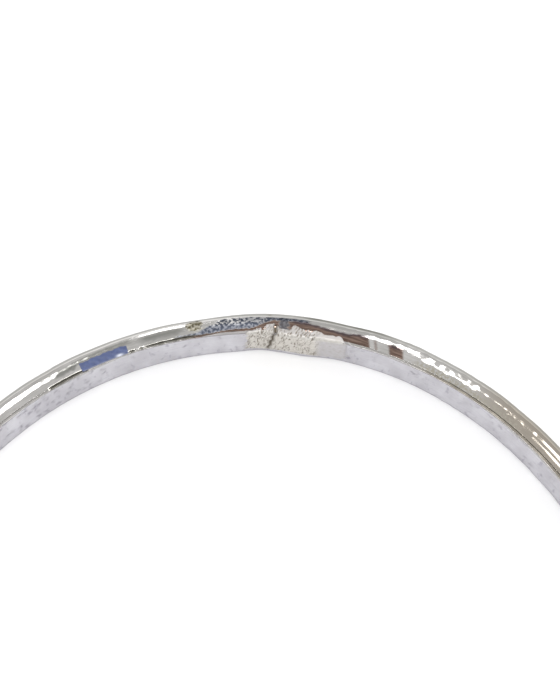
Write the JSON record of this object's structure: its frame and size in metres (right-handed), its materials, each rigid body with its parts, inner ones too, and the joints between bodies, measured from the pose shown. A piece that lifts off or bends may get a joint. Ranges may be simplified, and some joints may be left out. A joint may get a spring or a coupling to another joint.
{
  "type": "bangle bracelet",
  "caption": "Round slip-on bangle: domed polished silver outside, flat matt silver lining inside, one soldered join, and a small blue enamel bar let into one side.",
  "frame": {"origin": "centre of the wrist opening, on the plane that the lower side rests on when the bangle lies flat", "axes": "+Z along the ring's axis and up as it lies, +Y from the centre to the soldered join, +X to the right when seen from above with the join at the top"},
  "size_m": [0.07, 0.07, 0.005],
  "materials": {
    "polished_silver": "bright hand polish over faint hammer marks, with brown and slate heat tint beside the join",
    "matt_silver": "matt, faintly scratched along the band, with small dark pits",
    "silver_solder": "wrinkled and pitted, as it ran, left unpolished",
    "blue_enamel": "opaque blue, ground level with the metal, low gloss"
  },
  "bodies": {
    "root": {"outer_shell": "polished_silver", "inner_liner": "matt_silver", "front_seam_solder": "silver_solder", "rear_seam_solder": "silver_solder", "join_peg": "matt_silver", "join_solder": "silver_solder", "enamel_inlay": "blue_enamel"}
  },
  "joints": []
}
